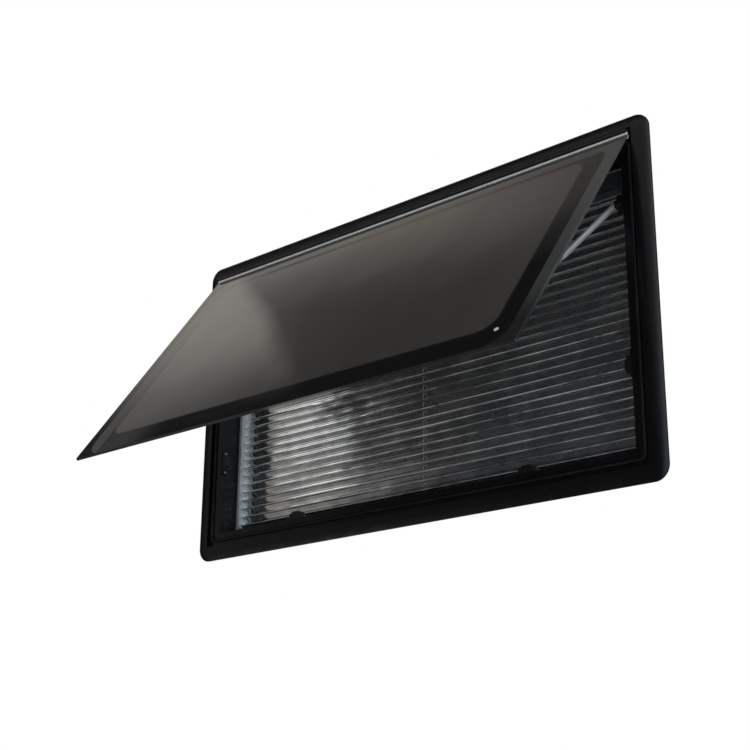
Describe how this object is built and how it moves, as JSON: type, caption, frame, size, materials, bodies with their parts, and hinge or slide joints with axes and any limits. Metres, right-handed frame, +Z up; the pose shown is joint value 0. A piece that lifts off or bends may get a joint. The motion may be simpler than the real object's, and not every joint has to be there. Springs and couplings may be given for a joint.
{
  "type": "caravan awning window",
  "caption": "Top-hung caravan side window with a black frame, smoked double-glazed pane on telescopic stays, lever latches and a pleated blind.",
  "frame": {"origin": "centre of the wall cut-out in the wall's outer plane", "axes": "+Z up, +Y into the vehicle, +X to the right seen from outside"},
  "size_m": [0.97, 0.384, 0.57],
  "materials": {
    "frame_plastic": "satin moulded",
    "sealing_tape": "matt tape",
    "seal_rubber": "matt extruded",
    "channel_aluminium": "anodised",
    "catch_plastic": "moulded",
    "screw_steel": "zinc plated",
    "bracket_plastic": "moulded",
    "pin_steel": "bright",
    "inner_plastic": "fine grained",
    "rail_plastic": "extruded",
    "guide_cord": "braided",
    "blind_foil": "aluminised, pleated",
    "bar_plastic": "extruded",
    "grip_plastic": "moulded",
    "smoked_acrylic": "smoked, polished",
    "black_seam": "dull",
    "inner_acrylic": "smoked, thermoformed",
    "plug_plastic": "moulded",
    "rail_aluminium": "anodised",
    "fork_plastic": "moulded",
    "latch_plastic": "moulded",
    "button_plastic": "moulded",
    "tube_aluminium": "anodised",
    "rod_steel": "bright"
  },
  "bodies": {
    "frame": {"outer_frame": "frame_plastic", "wall_seal": "sealing_tape", "pane_seal": "seal_rubber", "hinge_channel": "channel_aluminium", "catch_right": "catch_plastic", "catch_left": "catch_plastic", "catch_bottom_right": "catch_plastic", "catch_bottom_left": "catch_plastic", "catch_screws": "screw_steel", "stay_bracket_right": "bracket_plastic", "stay_bracket_left": "bracket_plastic", "stay_bracket_pins": "pin_steel", "stay_bracket_screws": "screw_steel", "inner_frame": "inner_plastic", "clamp_screws": "screw_steel", "blind_head_rail": "rail_plastic", "blind_guide_right": "rail_plastic", "blind_guide_left": "rail_plastic", "blind_sill": "rail_plastic", "blind_guide_cords": "guide_cord"},
    "blind": {"pleated_blind": "blind_foil", "blind_bar": "bar_plastic", "blind_grip": "grip_plastic"},
    "pane": {"outer_sheet": "smoked_acrylic", "glazing_seam": "black_seam", "inner_sheet": "inner_acrylic", "vent_plug": "plug_plastic", "hinge_rail": "rail_aluminium", "pane_fork_right": "fork_plastic", "pane_fork_left": "fork_plastic", "pane_fork_pins": "pin_steel", "latch_base_right": "latch_plastic", "latch_base_left": "latch_plastic", "latch_base_bottom_right": "latch_plastic", "latch_base_bottom_left": "latch_plastic"},
    "latch_lever_right": {"latch_lever_right": "latch_plastic"},
    "latch_button_right": {"latch_button_right": "button_plastic"},
    "latch_lever_left": {"latch_lever_left": "latch_plastic"},
    "latch_button_left": {"latch_button_left": "button_plastic"},
    "latch_lever_bottom_right": {"latch_lever_bottom_right": "latch_plastic"},
    "latch_button_bottom_right": {"latch_button_bottom_right": "button_plastic"},
    "latch_lever_bottom_left": {"latch_lever_bottom_left": "latch_plastic"},
    "latch_button_bottom_left": {"latch_button_bottom_left": "button_plastic"},
    "stay_tube_right": {"stay_tube_right": "tube_aluminium"},
    "stay_rod_right": {"stay_rod_right": "rod_steel"},
    "stay_tube_left": {"stay_tube_left": "tube_aluminium"},
    "stay_rod_left": {"stay_rod_left": "rod_steel"}
  },
  "joints": [
    {"name": "pane_hinge", "type": "hinge", "parent": "frame", "child": "pane", "pos_m": [0, -0.016, 0.256], "axis": [-1, 0, 0], "range_deg": [-36, 0]},
    {"name": "blind_slide", "type": "slide", "parent": "frame", "child": "blind", "axis": [0, 0, 1], "range_m": [0, 0.364], "deforming": ["pleated_blind"]},
    {"name": "stay_turn_right", "type": "hinge", "parent": "frame", "child": "stay_tube_right", "pos_m": [0.413, 0.0063, 0.1526], "axis": [-1, 0, 0], "range_deg": [-48.3, 0]},
    {"name": "stay_slide_right", "type": "slide", "parent": "stay_tube_right", "child": "stay_rod_right", "axis": [0, -0.7452, -0.6668], "range_m": [-0.0425, 0]},
    {"name": "stay_turn_left", "type": "hinge", "parent": "frame", "child": "stay_tube_left", "pos_m": [-0.413, 0.0063, 0.1526], "axis": [-1, 0, 0], "range_deg": [-48.3, 0]},
    {"name": "stay_slide_left", "type": "slide", "parent": "stay_tube_left", "child": "stay_rod_left", "axis": [0, -0.7452, -0.6668], "range_m": [-0.0425, 0]},
    {"name": "latch_turn_right", "type": "hinge", "parent": "pane", "child": "latch_lever_right", "pos_m": [0.405, -0.22069, -0.04274], "axis": [0, -0.809, 0.5878], "range_deg": [0, 90]},
    {"name": "latch_press_right", "type": "slide", "parent": "latch_lever_right", "child": "latch_button_right", "axis": [0, -0.809, 0.5878], "range_m": [0, 0.0015], "stiffness_N_per_m": 300, "springref_m": -0.002},
    {"name": "latch_turn_left", "type": "hinge", "parent": "pane", "child": "latch_lever_left", "pos_m": [-0.405, -0.22069, -0.04274], "axis": [0, 0.809, -0.5878], "range_deg": [0, 90]},
    {"name": "latch_press_left", "type": "slide", "parent": "latch_lever_left", "child": "latch_button_left", "axis": [0, -0.809, 0.5878], "range_m": [0, 0.0015], "stiffness_N_per_m": 300, "springref_m": -0.002},
    {"name": "latch_turn_bottom_right", "type": "hinge", "parent": "pane", "child": "latch_lever_bottom_right", "pos_m": [0.243, -0.27888, -0.12283], "axis": [0, -0.809, 0.5878], "range_deg": [0, 90]},
    {"name": "latch_press_bottom_right", "type": "slide", "parent": "latch_lever_bottom_right", "child": "latch_button_bottom_right", "axis": [0, -0.809, 0.5878], "range_m": [0, 0.0015], "stiffness_N_per_m": 300, "springref_m": -0.002},
    {"name": "latch_turn_bottom_left", "type": "hinge", "parent": "pane", "child": "latch_lever_bottom_left", "pos_m": [-0.243, -0.27888, -0.12283], "axis": [0, 0.809, -0.5878], "range_deg": [0, 90]},
    {"name": "latch_press_bottom_left", "type": "slide", "parent": "latch_lever_bottom_left", "child": "latch_button_bottom_left", "axis": [0, -0.809, 0.5878], "range_m": [0, 0.0015], "stiffness_N_per_m": 300, "springref_m": -0.002}
  ],
  "couplings": [
    {"joint": "stay_turn_right", "follows": "pane_hinge", "ratio": 1.34},
    {"joint": "stay_slide_right", "follows": "pane_hinge", "m_per_rad": 0.067},
    {"joint": "stay_turn_left", "follows": "pane_hinge", "ratio": 1.34},
    {"joint": "stay_slide_left", "follows": "pane_hinge", "m_per_rad": 0.067}
  ]
}
